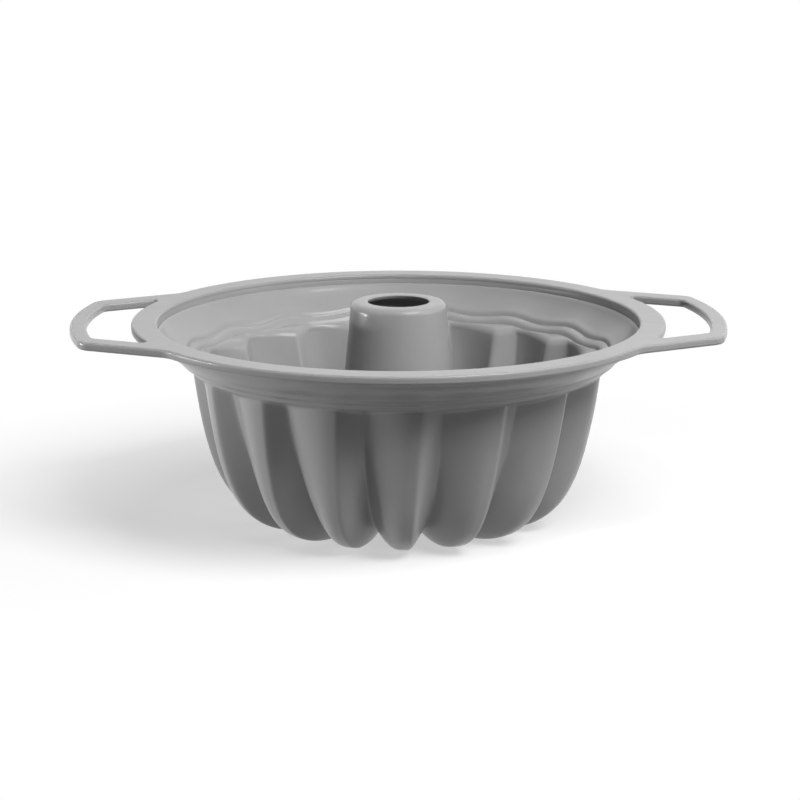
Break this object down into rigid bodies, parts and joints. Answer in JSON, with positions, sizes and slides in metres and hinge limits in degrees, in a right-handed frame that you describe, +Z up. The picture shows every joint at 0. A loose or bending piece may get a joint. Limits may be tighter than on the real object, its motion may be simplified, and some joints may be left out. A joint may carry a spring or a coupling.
{
  "type": "tube pan",
  "caption": "Flexible ring-cake pan with swept lobes, a centre tube and two loop handles, stiffened by steel wire inside its rim and handles.",
  "frame": {"origin": "on the surface the pan stands on, under the middle of the tube", "axes": "+X along the two handles, +Y to the back, +Z up out of the pan's open top"},
  "size_m": [0.3116, 0.254, 0.1073],
  "materials": {
    "silicone": "satin moulded silicone",
    "silicone_cap": "satin moulded silicone",
    "steel_wire": "drawn wire"
  },
  "bodies": {
    "root": {"pan_body": "silicone", "rim_cap": "silicone_cap", "rim_hoop": "steel_wire", "left_handle_wire": "steel_wire", "right_handle_wire": "steel_wire"}
  },
  "joints": []
}
